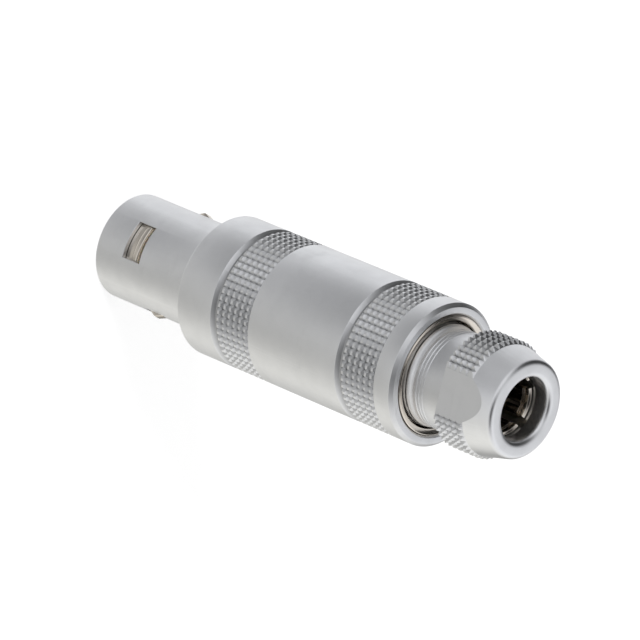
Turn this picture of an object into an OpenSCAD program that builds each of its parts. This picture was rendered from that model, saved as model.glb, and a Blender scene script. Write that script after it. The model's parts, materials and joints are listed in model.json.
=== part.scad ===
// Coaxial push-pull cable plug with a knurled sliding shell and a collet nut
// All sizes in millimetres. The axis is Z, the tip of the nose is at z = 0
// and the cable end points up. The latch teeth face +X and -X, the snap
// lugs face +Y and -Y.

/* [Nose] */
// Outside diameter of the nose tube
nose_d = 9; // [8.8:0.05:9.2]
// Length of the nose in front of the grip
nose_len = 11.4; // [11.2:0.1:13]
// Wall of the nose tube
nose_wall = 0.35; // [0.3:0.05:0.4]
// Bevel on the edge of the tip
tip_bevel = 0.08; // [0.04:0.02:0.14]
// How far the sleeve sits behind the tip
tip_recess = 1.6; // [1.4:0.1:2]

/* [Grip] */
// Outside diameter of the grip
grip_d = 12; // [11.6:0.1:13]
// Wall of the grip around the sleeve
grip_wall = 0.95; // [0.85:0.05:1.1]
// Solid wall between the nose and the bore of the grip
grip_front_wall = 1.6; // [1.2:0.1:2]
// Plain band at the front of the grip
front_band = 3.85; // [3:0.05:5]
// Plain band between the two knurls
middle_band = 9.85; // [8:0.05:12]
// Plain band behind the rear knurl
rear_band = 1.95; // [1.4:0.05:3]
// Bevel at the rear edge of the grip
rear_bevel = 0.3; // [0.2:0.05:0.5]
// Bevel at the mouth of the grip's bore
bore_bevel = 0.16; // [0.1:0.02:0.3]
// Break on the front edge of the grip
front_break = 0.06; // [0.04:0.02:0.12]

/* [Knurl] */
// Spacing of the knurl along the axis
knurl_pitch = 0.62; // [0.56:0.01:0.7]
// Depth of the grip's knurl
grip_knurl_depth = 0.2; // [0.16:0.01:0.24]
// Flat left on top of each point of the grip
grip_knurl_land = 0.22; // [0.16:0.01:0.26]
// Depth of the nut's knurl
nut_knurl_depth = 0.27; // [0.2:0.01:0.29]
// Flat left on top of each point of the nut
nut_knurl_land = 0.1; // [0.06:0.01:0.16]
// Rows of points in each band of the grip
grip_rows = 6; // [4:1:7]
// Points around the grip
grip_points = 61; // [54:1:66]
// Depth of the groove in front of each band
band_groove_depth = 0.3; // [0.3:0.01:0.4]
// Width of the floor of that groove
band_groove_floor = 0.25; // [0.15:0.05:0.4]
// Run of the wall behind each band
band_wall_run = 0.08; // [0.05:0.01:0.15]
// Points around the nut
nut_points = 52; // [46:1:56]
// Distance from the nut's shoulder to its first knurl valley
nut_first_valley = 0.36; // [0.3:0.02:0.6]
// Valleys across the nut's knurl
nut_valleys = 4; // [3:1:4]

/* [Latch sleeve] */
// Wall of the sleeve in the grip
sleeve_wall = 0.5; // [0.45:0.05:0.6]
// Wall of the sleeve in the nose
sleeve_nose_wall = 0.45; // [0.4:0.05:0.5]
// Thickness of the sleeve's inner shoulder
sleeve_shoulder = 1.2; // [1:0.1:1.6]
// Radial play between sleeve and shell
slide_gap = 0.05; // [0.03:0.01:0.08]
// Travel of the shell when the plug is released
release_travel = 0.7; // [0.5:0.05:0.8]
// Free length left at the end of that travel
stop_gap = 0.06; // [0.05:0.01:0.15]
// Bevel on the sleeve's visible rim
rim_bevel = 0.12; // [0.06:0.02:0.2]
// Countersink in the sleeve's mouth
mouth_sink = 0.16; // [0.1:0.02:0.24]

/* [Latch] */
// Width of a latch arm
arm_w = 2.2; // [1.8:0.1:2.6]
// Slits beside and ahead of a latch arm
arm_slit = 0.3; // [0.2:0.05:0.4]
// Distance from the tip to the free end of an arm
arm_tip = 4.76; // [4.6:0.02:5]
// Length of an arm
arm_len = 7; // [6:0.1:7.4]
// Distance from the arm's free end to the foot of its tooth
tooth_set = 0.2; // [0.1:0.05:0.3]
// Height of a tooth above the nose
tooth_rise = 0.29; // [0.2:0.01:0.34]
// Width of a tooth
tooth_w = 0.8; // [0.6:0.05:1.2]
// How far the ramps of a tooth start below the nose
tooth_foot = 0.06; // [0.03:0.01:0.1]
// Run of the front ramp, which the shell's window presses on
tooth_front = 0.74; // [0.6:0.02:0.9]
// Length of the flat on a tooth
tooth_land = 0.04; // [0.02:0.01:0.2]
// Run of the rear ramp, which holds in the socket
tooth_back = 0.88; // [0.7:0.02:1]
// Play around a tooth in its window
tooth_play = 0.12; // [0.08:0.02:0.2]

/* [Snap lug] */
// Distance from the tip to the front of a key window
window_z = 3.12; // [2.9:0.02:3.4]
// Length of a key window
window_len = 1.94; // [1.8:0.02:2.2]
// Width of a key window
window_w = 3.26; // [2.8:0.02:3.6]
// Length of a snap lug
lug_len = 0.7; // [0.5:0.05:0.9]
// Run of the ramp ahead of a snap lug
lug_ramp = 0.2; // [0.1:0.05:0.3]
// Height of a snap lug's front edge above the sleeve
lug_step = 0.06; // [0.04:0.01:0.1]
// How far a snap lug stays below the nose
lug_below = 0.14; // [0.1:0.02:0.2]
// Side play of a snap lug in its window
lug_play = 0.08; // [0.05:0.01:0.12]
// Length of the slot behind a snap lug
lug_slot = 0.6; // [0.4:0.05:0.7]

/* [Insert] */
// Diameter of the contact pin
pin_d = 1.3; // [1:0.05:1.6]
// Diameter of the flat on the pin's point
pin_point_d = 0.65; // [0.4:0.05:0.8]
// Distance from the nose tip to the pin's point
pin_recess = 2.2; // [2:0.1:3]
// Diameter of the contact's collar
collar_d = 3; // [2.4:0.1:3.4]
// Length of the contact's collar
collar_len = 0.8; // [0.6:0.1:1.2]
// Diameter of the solder cup
cup_d = 1.9; // [1.7:0.05:2.1]
// Bore of the solder cup
cup_bore_d = 1.2; // [1:0.05:1.3]
// Depth of the solder cup
cup_depth = 3; // [2.4:0.1:3.4]
// Length of the opening in the side of the solder cup
cup_opening = 2; // [1:0.1:2.2]
// Distance from the nose tip to the insulator's face
insulator_face = 6.2; // [5.8:0.1:7]
// Room for the latch arms around the front insulator
arm_room = 0.5; // [0.45:0.05:0.6]
// Length of the insulator's centring land
insulator_land = 1.6; // [1.2:0.1:1.8]
// Thickness of the insulator's flange
insulator_flange = 1.5; // [1.2:0.1:2]
// Length of the rear insulator
rear_insulator_len = 3.5; // [3.2:0.1:4.5]
// Length of the rear insulator's clamped end
clamped_end = 1.4; // [1.2:0.1:1.6]
// Length of the rim on that end
clamped_rim = 0.4; // [0.3:0.05:0.5]
// Depth of the groove the carrier grips
clamp_groove = 0.45; // [0.3:0.05:0.6]
// Wall of the carrier around the rim
carrier_lip = 0.45; // [0.4:0.05:0.6]
// Length of the carrier behind the rim
carrier_len = 5.5; // [4:0.1:6]
// Bore of the carrier
carrier_bore_d = 4.2; // [3.6:0.1:5]
// Gap between the carrier halves
split_gap = 0.1; // [0.06:0.02:0.2]
// Play between the pieces of the insert
seat_gap = 0.03; // [0.02:0.01:0.05]

/* [Earthing cone] */
// Thickness of the cone's flange
cone_flange = 0.8; // [0.6:0.1:1]
// Length of the cone
cone_len = 3.1; // [2.6:0.1:3.2]
// Width of the flange around the cone
cone_shoulder = 0.57; // [0.5:0.01:0.7]
// Radial drop of the cone from its flange to its end
cone_drop = 0.9; // [0.8:0.05:1]
// Wall at the end of the cone
cone_wall = 0.7; // [0.5:0.05:0.8]
// Room for the cable's screen around the cone
screen_gap = 0.22; // [0.18:0.02:0.24]

/* [Collet] */
// Wall of the collet around the cable
collet_wall = 0.87; // [0.8:0.01:1]
// Wall left at the collet's end
collet_end_wall = 0.3; // [0.25:0.05:0.4]
// Length of the collet's flange
collet_flange = 2.7; // [2.5:0.1:2.8]
// Length of the seat for the earthing cone
collet_seat = 2.3; // [2.1:0.1:2.4]
// Gap between collet and earthing cone before tightening
collet_open_gap = 0.5; // [0.4:0.05:0.6]
// Slots in the collet
collet_slots = 5; // [4:1:6]
// Width of a slot
collet_slot_w = 0.8; // [0.5:0.05:1]
// Length of a slot
collet_slot_len = 7; // [5:0.1:8]
// Direction of the first slot
collet_slot_angle = 253.6; // [0:0.1:360]
// Gripping grooves near the end of the bore
grip_grooves = 2; // [1:1:4]
// Spacing of the gripping grooves
grip_groove_pitch = 0.2; // [0.18:0.02:0.3]
// Width of a gripping groove
grip_groove_w = 0.1; // [0.06:0.01:0.14]
// Depth of a gripping groove
grip_groove_depth = 0.17; // [0.1:0.01:0.2]
// Distance from the collet's end to its first groove
grip_groove_set = 0.42; // [0.3:0.02:0.6]
// Play of the collet in nut and sleeve
collet_gap = 0.08; // [0.05:0.01:0.1]

/* [Collet nut] */
// Height of the nut's knurl above its neck
nut_shoulder = 0.82; // [0.7:0.02:0.9]
// Gap between grip and nut as it is delivered
nut_stand_off = 3.55; // [3.4:0.05:3.8]
// Length of the nut's knurl
nut_knurl_len = 2.65; // [2.5:0.05:3]
// Bevel behind the nut's knurl
nut_bevel = 0.29; // [0.2:0.01:0.3]
// Length of the nut's tapered end
nut_taper_len = 2.49; // [2.2:0.01:3]
// Half angle of the tapered end
nut_taper_angle = 13.5; // [10:0.5:15]
// Rounding of the nut's end
nut_end_round = 0.5; // [0.4:0.05:0.6]
// Room around the cable in the inlet
inlet_room = 0.18; // [0.15:0.01:0.25]
// Length of the straight part of the inlet
inlet_land = 0.95; // [0.8:0.05:1.1]
// Rounding of the cable inlet
inlet_round = 0.55; // [0.45:0.05:0.6]
// Depth of a wrench flat below the knurl
flat_depth = 0.64; // [0.44:0.02:0.7]
// Direction of the first wrench flat
nut_flat_angle = 109.8; // [0:0.1:180]
// Depth of the neck below the root of the thread
neck_relief = 0.12; // [0.06:0.02:0.16]
// Length of the plain neck
neck_len = 2.1; // [1.8:0.05:2.4]
// Wall of the nut at its neck
nut_wall = 0.72; // [0.66:0.01:0.76]
// Half angle of the cone that closes the collet
nut_cone_angle = 24; // [20:1:28]
// Spacing of the nut's thread
thread_pitch = 0.6; // [0.5:0.05:0.7]
// Depth of the nut's thread
thread_depth = 0.16; // [0.1:0.01:0.2]
// Share of the pitch that each flank of the thread takes
thread_flank = 0.3; // [0.2:0.05:0.4]
// Play of the nut's thread in the sleeve
thread_gap = 0.1; // [0.06:0.01:0.1]
// Turns of thread on the nut
thread_turns = 7; // [6:1:7]
// Travel of the nut from delivered to tight
nut_travel = 2.5; // [2:0.1:2.6]

/* [Hidden] */
$fn = 96;
over = 0.5;
arc_steps = 8;
nose_r = nose_d / 2;
nose_bore_r = nose_r - nose_wall;
grip_r = grip_d / 2;
grip_bore_r = grip_r - grip_wall;
sleeve_r = grip_bore_r - slide_gap;
knurl_len = grip_rows * knurl_pitch;
band_zone = band_groove_depth + band_groove_floor + knurl_len + band_wall_run;
front_knurl_z = nose_len + front_band;
rear_knurl_z = front_knurl_z + band_zone + middle_band;
grip_end = rear_knurl_z + band_zone + rear_band;
knurl_offset = band_groove_depth + band_groove_floor;
grip_step_z = nose_len + grip_front_wall;

sleeve_nose_r = nose_bore_r - slide_gap;
sleeve_nose_bore_r = sleeve_nose_r - sleeve_nose_wall;
sleeve_step_z = grip_step_z + release_travel + stop_gap;
sleeve_bore_r = sleeve_r - sleeve_wall;
seat_z = sleeve_step_z + sleeve_shoulder;

tooth_top_r = nose_r + tooth_rise;
tooth_z = arm_tip + tooth_set;
tooth_foot_r = nose_r - tooth_foot;
tooth_len = tooth_front + tooth_land + tooth_back;
latch_window_z = tooth_z - release_travel - tooth_play;
latch_window_len = tooth_len + release_travel + 2 * tooth_play;
tooth_half = asin(tooth_w / 2 / tooth_top_r);

lug_r = nose_r - lug_below;
lug_z = window_z + release_travel + stop_gap;
lug_w = window_w - 2 * lug_play;
lug_half = asin(lug_w / 2 / nose_r);
// Turn that keeps the start of the round body clear of the teeth and lugs
seam_turn = 45;

insert_r = sleeve_bore_r - seat_gap;
flange_z = seat_z + seat_gap;
flange_end = flange_z + insulator_flange;
collar_z = flange_end + seat_gap;
rear_insulator_z = flange_end + seat_gap;
rear_insulator_end = rear_insulator_z + rear_insulator_len;
clamp_z = rear_insulator_end - clamped_end;
rim_z = rear_insulator_end - clamped_rim;
rim_r = insert_r - carrier_lip - seat_gap;
clamp_r = rim_r - clamp_groove;
carrier_z = clamp_z + seat_gap;
carrier_end = rear_insulator_end + seat_gap + carrier_len;
cup_end = carrier_end - carrier_len / 2;
cone_z = carrier_end + seat_gap;
cone_face_z = cone_z + cone_flange;
cone_end = cone_face_z + cone_len;
cone_big_r = insert_r - cone_shoulder;
cone_small_r = cone_big_r - cone_drop;
cone_bore_r = cone_small_r - cone_wall;
cone_slope = cone_drop / cone_len;

thread_r = sleeve_bore_r - thread_gap;
thread_root_r = thread_r - thread_depth;
neck_r = thread_root_r - neck_relief;
nut_bore_r = neck_r - nut_wall;
nut_r = neck_r + nut_shoulder;

collet_tube_r = nut_bore_r - collet_gap;
collet_bore_r = collet_tube_r - collet_wall;
collet_z = cone_end + collet_open_gap;
collet_flange_end = collet_z + collet_flange;
seat_mouth_r = cone_big_r - cone_slope * (collet_z - nut_travel - cone_face_z) + screen_gap;
seat_end_r = seat_mouth_r - cone_slope * collet_seat;

nut_z = grip_end + nut_stand_off;
nut_knurl_end = nut_z + nut_knurl_len;
nut_taper_z = nut_knurl_end + nut_bevel;
nut_taper_r = nut_r - nut_bevel;
nut_end = nut_taper_z + nut_taper_len;
thread_end = nut_z - neck_len;
thread_z = thread_end - thread_turns * thread_pitch;
run_out = thread_pitch / 4;
run_out_r = (thread_root_r + neck_r) / 2;
inlet_r = collet_bore_r + inlet_room;
nut_cone_end = nut_end - inlet_round - inlet_land;
nut_cone_run = (nut_bore_r - inlet_r) / tan(nut_cone_angle);
nut_cone_z = nut_cone_end - nut_cone_run;
collet_end_r = collet_bore_r + collet_end_wall;
collet_end = nut_cone_end - (collet_end_r - inlet_r + collet_gap / cos(nut_cone_angle)) / tan(nut_cone_angle);
collet_cone_z = collet_end - (collet_tube_r - collet_end_r) / tan(nut_cone_angle);
end_round_z = nut_end - nut_end_round;
end_round_r = nut_taper_r - tan(nut_taper_angle) * (end_round_z - nut_taper_z)
    - nut_end_round / cos(nut_taper_angle);

// Points of an arc in the profile plane
function arc(centre_r, centre_z, r, from, to) =
    [for (i = [0 : arc_steps])
        [centre_r + r * cos(from + (to - from) * i / arc_steps),
         centre_z + r * sin(from + (to - from) * i / arc_steps)]];

// Outline of a run of grip points along the axis, starting and ending in a valley
function grip_knurl(z) =
    concat(
        [for (i = [0 : grip_rows - 1])
            each [[grip_r - grip_knurl_depth, z + i * knurl_pitch],
                  [grip_r, z + i * knurl_pitch + (knurl_pitch - grip_knurl_land) / 2],
                  [grip_r, z + i * knurl_pitch + (knurl_pitch + grip_knurl_land) / 2]]],
        [[grip_r - grip_knurl_depth, z + grip_rows * knurl_pitch]]);

// Outline of one knurled band of the grip with its groove
function grip_band(z) =
    concat(
        [[grip_r, z],
         [grip_r - band_groove_depth, z + band_groove_depth],
         [grip_r - band_groove_depth, z + knurl_offset]],
        grip_knurl(z + knurl_offset),
        [[grip_r, z + band_zone]]);

// Cross section left standing by the grooves that run along the axis
function fluted_section(r, points, depth, land) =
    let (step = 360 / points, spacing = 2 * PI * r / points)
    let (valley = r - depth, apex = valley + depth * spacing / (spacing - land))
    [for (i = [0 : points - 1])
        each [[valley * cos((i - 0.5) * step), valley * sin((i - 0.5) * step)],
              [apex * cos(i * step), apex * sin(i * step)]]];

// Grooves along the axis all round a knurl
module flutes(r, points, depth, land, z, len) {
    difference() {
        translate([0, 0, z])
            cylinder(r = r + over, h = len);
        translate([0, 0, z - over])
            linear_extrude(len + 2 * over)
                polygon(fluted_section(r, points, depth, land));
    }
}

module outer_shell() {
    color([0.76, 0.77, 0.78])
        difference() {
            rotate_extrude()
                polygon(concat(
                    [[nose_bore_r, 0],
                     [nose_r - tip_bevel, 0],
                     [nose_r, tip_bevel],
                     [nose_r, nose_len],
                     [grip_r - front_break, nose_len],
                     [grip_r, nose_len + front_break]],
                    grip_band(front_knurl_z),
                    grip_band(rear_knurl_z),
                    [[grip_r, grip_end - rear_bevel],
                     [grip_r - rear_bevel, grip_end],
                     [grip_bore_r + bore_bevel, grip_end],
                     [grip_bore_r, grip_end - bore_bevel],
                     [grip_bore_r, grip_step_z],
                     [nose_bore_r, grip_step_z]]));
            for (z = [front_knurl_z, rear_knurl_z])
                flutes(grip_r, grip_points, grip_knurl_depth, grip_knurl_land,
                       z + knurl_offset, knurl_len);
            latch_windows();
            key_windows();
        }
}

// Openings for the latch teeth, long enough for the shell's travel
module latch_windows() {
    width = tooth_w + 2 * tooth_play;
    for (side = [0, 180])
        rotate([0, 0, side])
            translate([nose_bore_r - over, -width / 2, latch_window_z])
                cube([nose_wall + 2 * over, width, latch_window_len]);
}

// Openings for the snap lugs
module key_windows() {
    for (side = [90, 270])
        rotate([0, 0, side])
            translate([nose_bore_r - over, -window_w / 2, window_z])
                cube([nose_wall + 2 * over, window_w, window_len]);
}

module latch_sleeve() {
    color([0.78, 0.74, 0.66])
        difference() {
            union() {
                rotate([0, 0, seam_turn])
                    sleeve_body();
                for (side = [0, 180])
                    rotate([0, 0, side])
                        latch_tooth();
                for (side = [90, 270])
                    rotate([0, 0, side])
                        snap_lug();
            }
            arm_slits();
            lug_slots();
        }
}

// Stepped tube of the sleeve, with the seat for the insulators
module sleeve_body() {
    rotate_extrude()
        polygon([
            [sleeve_nose_bore_r, tip_recess],
            [sleeve_nose_r, tip_recess],
            [sleeve_nose_r, sleeve_step_z],
            [sleeve_r, sleeve_step_z],
            [sleeve_r, grip_end - rim_bevel],
            [sleeve_r - rim_bevel, grip_end],
            [sleeve_bore_r + mouth_sink, grip_end],
            [sleeve_bore_r, grip_end - mouth_sink],
            [sleeve_bore_r, seat_z],
            [sleeve_nose_bore_r, seat_z]]);
}

// Cuts that free the two latch arms on three sides
module arm_slits() {
    span = 2 * sleeve_nose_r + 2 * over;
    for (side = [-1, 1])
        translate([-span / 2, side * (arm_w + arm_slit) / 2 - arm_slit / 2, arm_tip - arm_slit])
            cube([span, arm_slit, arm_len + arm_slit]);
    translate([-span / 2, -arm_w / 2 - arm_slit, arm_tip - arm_slit])
        cube([span, arm_w + 2 * arm_slit, arm_slit]);
}

// Slots behind the snap lugs that let them spring
module lug_slots() {
    for (side = [90, 270])
        rotate([0, 0, side])
            translate([sleeve_nose_bore_r - over, -window_w / 2, lug_z + lug_len])
                cube([sleeve_nose_wall + 2 * over, window_w, lug_slot]);
}

// Tooth on a latch arm: a block with a ridge that stands out of the nose
module latch_tooth() {
    root_r = sleeve_nose_r - sleeve_nose_wall / 2;
    rotate([0, 0, -tooth_half])
        rotate_extrude(angle = 2 * tooth_half)
            polygon([
                [root_r, tooth_z],
                [tooth_foot_r, tooth_z],
                [tooth_top_r, tooth_z + tooth_front],
                [tooth_top_r, tooth_z + tooth_front + tooth_land],
                [tooth_foot_r, tooth_z + tooth_len],
                [root_r, tooth_z + tooth_len]]);
}

// Lug that keys the sleeve in the shell and ends its travel
module snap_lug() {
    root_r = sleeve_nose_r - sleeve_nose_wall / 2;
    rotate([0, 0, -lug_half])
        rotate_extrude(angle = 2 * lug_half)
            polygon([
                [root_r, lug_z],
                [sleeve_nose_r + lug_step, lug_z],
                [lug_r, lug_z + lug_ramp],
                [lug_r, lug_z + lug_len + lug_slot / 2],
                [root_r, lug_z + lug_len + lug_slot / 2]]);
}

module front_insulator() {
    core_r = sleeve_nose_bore_r - arm_room;
    land_r = sleeve_nose_bore_r - seat_gap;
    bore_r = pin_d / 2 + seat_gap;
    color([0.94, 0.94, 0.92])
        rotate_extrude()
            polygon([
                [bore_r, insulator_face],
                [core_r, insulator_face],
                [core_r, flange_z - insulator_land],
                [land_r, flange_z - insulator_land],
                [land_r, flange_z],
                [insert_r, flange_z],
                [insert_r, flange_end],
                [bore_r, flange_end]]);
}

module rear_insulator() {
    collar_r = collar_d / 2 + seat_gap;
    bore_r = cup_d / 2 + seat_gap;
    color([0.94, 0.94, 0.92])
        rotate_extrude()
            polygon([
                [collar_r, rear_insulator_z],
                [insert_r, rear_insulator_z],
                [insert_r, clamp_z],
                [clamp_r, clamp_z],
                [clamp_r, rim_z],
                [rim_r, rim_z],
                [rim_r, rear_insulator_end],
                [bore_r, rear_insulator_end],
                [bore_r, collar_z + collar_len + seat_gap],
                [collar_r, collar_z + collar_len + seat_gap]]);
}

module centre_contact() {
    color([0.85, 0.67, 0.3])
        difference() {
            rotate_extrude()
                polygon([
                    [0, pin_recess],
                    [pin_point_d / 2, pin_recess],
                    [pin_d / 2, pin_recess + pin_d / 2],
                    [pin_d / 2, collar_z],
                    [collar_d / 2, collar_z],
                    [collar_d / 2, collar_z + collar_len],
                    [cup_d / 2, collar_z + collar_len],
                    [cup_d / 2, cup_end],
                    [cup_bore_d / 2, cup_end],
                    [cup_bore_d / 2, cup_end - cup_depth],
                    [0, cup_end - cup_depth]]);
            translate([0, -cup_d, cup_end - cup_opening])
                cube([cup_d, 2 * cup_d, cup_depth]);
        }
}

// One half of the carrier that clamps the insulators
module carrier_half() {
    difference() {
        rotate_extrude()
            polygon([
                [clamp_r + seat_gap, carrier_z],
                [insert_r, carrier_z],
                [insert_r, carrier_end],
                [carrier_bore_d / 2, carrier_end],
                [carrier_bore_d / 2, rear_insulator_end + seat_gap],
                [rim_r + seat_gap, rear_insulator_end + seat_gap],
                [rim_r + seat_gap, rim_z - seat_gap],
                [clamp_r + seat_gap, rim_z - seat_gap]]);
        translate([-sleeve_r, -sleeve_r, carrier_z - over])
            cube([2 * sleeve_r, sleeve_r + split_gap / 2, carrier_end - carrier_z + 2 * over]);
    }
}

module carrier_half_a() {
    color([0.72, 0.6, 0.36])
        carrier_half();
}

module carrier_half_b() {
    color([0.72, 0.6, 0.36])
        rotate([0, 0, 180])
            carrier_half();
}

module earthing_cone() {
    color([0.78, 0.74, 0.66])
        rotate_extrude()
            polygon([
                [cone_bore_r, cone_z],
                [insert_r, cone_z],
                [insert_r, cone_face_z],
                [cone_big_r, cone_face_z],
                [cone_small_r, cone_end],
                [cone_bore_r, cone_end]]);
}

module collet() {
    color([0.78, 0.74, 0.66])
        difference() {
            rotate_extrude()
                polygon([
                    [seat_mouth_r, collet_z],
                    [sleeve_bore_r - collet_gap, collet_z],
                    [sleeve_bore_r - collet_gap, collet_flange_end],
                    [collet_tube_r, collet_flange_end],
                    [collet_tube_r, collet_cone_z],
                    [collet_end_r, collet_end],
                    [collet_bore_r, collet_end],
                    [collet_bore_r, collet_z + collet_seat],
                    [seat_end_r, collet_z + collet_seat]]);
            for (i = [0 : grip_grooves - 1])
                translate([0, 0, collet_end - grip_groove_set - i * grip_groove_pitch - grip_groove_w])
                    cylinder(r = collet_bore_r + grip_groove_depth, h = grip_groove_w);
            for (i = [0 : collet_slots - 1])
                rotate([0, 0, collet_slot_angle + i * 360 / collet_slots])
                    translate([0, -collet_slot_w / 2, collet_end - collet_slot_len])
                        cube([sleeve_r, collet_slot_w, collet_slot_len + over]);
        }
}

module collet_nut() {
    color([0.76, 0.77, 0.78])
        difference() {
            rotate_extrude()
                polygon(concat(
                    [[nut_bore_r, thread_z]],
                    nut_thread(),
                    [[neck_r, nut_z],
                     [nut_r, nut_z]],
                    nut_knurl(),
                    [[nut_r, nut_knurl_end],
                     [nut_taper_r, nut_taper_z]],
                    arc(end_round_r, end_round_z, nut_end_round, nut_taper_angle, 90),
                    arc(inlet_r + inlet_round, nut_end - inlet_round, inlet_round, 90, 180),
                    [[inlet_r, nut_cone_end],
                     [nut_bore_r, nut_cone_z]]));
            flutes(nut_r, nut_points, nut_knurl_depth, nut_knurl_land,
                   nut_z - over, nut_knurl_len + nut_bevel + over);
            wrench_flats();
        }
}

// Outline of the nut's thread, drawn as rings, with its run-out on the neck
function nut_thread() =
    concat(
        [for (i = [0 : thread_turns - 1])
            each [[thread_root_r, thread_z + i * thread_pitch],
                  [thread_r, thread_z + (i + thread_flank) * thread_pitch],
                  [thread_r, thread_z + (i + 1 - thread_flank) * thread_pitch]]],
        [[thread_root_r, thread_end],
         [thread_root_r, thread_end + run_out],
         [run_out_r, thread_end + run_out],
         [run_out_r, thread_end + 2 * run_out],
         [neck_r, thread_end + 2 * run_out]]);

// Outline of the valleys that ring the nut's knurl
function nut_knurl() =
    [for (i = [0 : nut_valleys - 1])
        let (valley = nut_z + nut_first_valley + i * knurl_pitch)
        let (half = (knurl_pitch - nut_knurl_land) / 2)
        each [[nut_r, valley - half],
              [nut_r - nut_knurl_depth, valley],
              [nut_r, valley + half]]];

// Two flats for a wrench, cut across the knurl and the taper
module wrench_flats() {
    for (side = [0, 180])
        rotate([0, 0, nut_flat_angle + side])
            translate([nut_r - flat_depth, -nut_r, nut_z - over])
                cube([nut_r, 2 * nut_r, nut_end - nut_z + over]);
}

outer_shell();
latch_sleeve();
front_insulator();
rear_insulator();
centre_contact();
carrier_half_a();
carrier_half_b();
earthing_cone();
collet();
collet_nut();
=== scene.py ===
"""Looks of a push-pull coaxial plug: satin shell and nut, nickel sleeve and collet, on a white stage."""

import functools
import json
import math
from types import SimpleNamespace

import bmesh
import bpy
from bpy.props import FloatProperty, FloatVectorProperty, IntProperty, PointerProperty
from mathutils import Matrix, Vector


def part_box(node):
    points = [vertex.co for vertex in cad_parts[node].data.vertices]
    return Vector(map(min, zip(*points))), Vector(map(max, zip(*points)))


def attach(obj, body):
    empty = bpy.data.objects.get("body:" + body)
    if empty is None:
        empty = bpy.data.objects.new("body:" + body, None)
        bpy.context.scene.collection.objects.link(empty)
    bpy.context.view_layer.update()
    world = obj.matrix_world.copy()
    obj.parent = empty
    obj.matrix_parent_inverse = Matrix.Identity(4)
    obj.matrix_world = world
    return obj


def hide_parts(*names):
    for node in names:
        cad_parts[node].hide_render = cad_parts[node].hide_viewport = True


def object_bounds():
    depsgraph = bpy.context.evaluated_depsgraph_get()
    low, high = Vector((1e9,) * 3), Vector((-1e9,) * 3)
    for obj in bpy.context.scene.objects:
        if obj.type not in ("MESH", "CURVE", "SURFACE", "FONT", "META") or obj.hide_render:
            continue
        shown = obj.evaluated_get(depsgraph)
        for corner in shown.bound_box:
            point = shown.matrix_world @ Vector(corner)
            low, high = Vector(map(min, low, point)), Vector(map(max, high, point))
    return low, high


bl_info = {
    "name": "Coaxial Plug Looks",
    "version": (1, 0, 0),
    "blender": (4, 5, 0),
    "location": "3D View > Sidebar > Plug",
    "description": "Turned metal pieces, finishes and stage of a push-pull coaxial plug",
    "category": "Object",
}

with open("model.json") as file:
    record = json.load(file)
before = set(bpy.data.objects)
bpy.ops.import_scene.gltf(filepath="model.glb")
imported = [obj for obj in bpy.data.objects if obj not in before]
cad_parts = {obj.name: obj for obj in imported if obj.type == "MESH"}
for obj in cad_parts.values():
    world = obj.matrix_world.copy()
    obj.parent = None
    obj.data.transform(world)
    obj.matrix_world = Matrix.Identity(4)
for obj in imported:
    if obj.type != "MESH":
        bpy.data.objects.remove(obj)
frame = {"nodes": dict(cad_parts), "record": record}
CAD_LOW, CAD_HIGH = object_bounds()
MM = 0.001
SHELL_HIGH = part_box("outer_shell")[1]
SLEEVE_LOW, SLEEVE_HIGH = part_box("latch_sleeve")
COLLET_LOW, COLLET_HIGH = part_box("collet")
NUT_LOW, NUT_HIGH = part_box("collet_nut")


# Settings


def length(name, description, millimetres):
    """A length that is shown in the scene's units."""
    return FloatProperty(
        name=name, description=description, default=millimetres * MM, unit="LENGTH", precision=6
    )


def angle(name, description, degrees):
    """An angle, given in degrees."""
    return FloatProperty(name=name, description=description, default=math.radians(degrees), unit="ROTATION")


def count(name, description, value):
    """A whole number of things."""
    return IntProperty(name=name, description=description, default=value, min=1)


def share(name, description, value):
    """A number from 0 to 1."""
    return FloatProperty(
        name=name, description=description, default=value, min=0.0, max=1.0, subtype="FACTOR"
    )


def colour(name, description, value):
    """A linear colour."""
    return FloatVectorProperty(
        name=name, description=description, default=value, size=3, min=0.0, max=1.0, subtype="COLOR"
    )


class PlugKnurlSettings(bpy.types.PropertyGroup):
    """Sizes of the knurl on the grip and on the nut"""

    pitch: length("Pitch", "Spacing of the points along the axis", 0.62)
    grip_depth: length("Grip depth", "Depth of the valleys on the grip", 0.2)
    grip_land: length("Grip land", "Flat left on each point of the grip", 0.22)
    nut_depth: length("Nut depth", "Depth of the valleys on the nut", 0.27)
    nut_land: length("Nut land", "Flat left on each point of the nut", 0.1)
    grip_points: count("Grip points", "Points around the grip", 61)
    grip_rows: count("Grip rows", "Rows in a band of the grip", 6)
    nut_points: count("Nut points", "Points around the nut", 52)
    nut_valleys: count("Nut valleys", "Ring valleys on the nut", 4)
    ramp_steps: count("Ramp steps", "Faces up each side of a point", 3)


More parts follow.
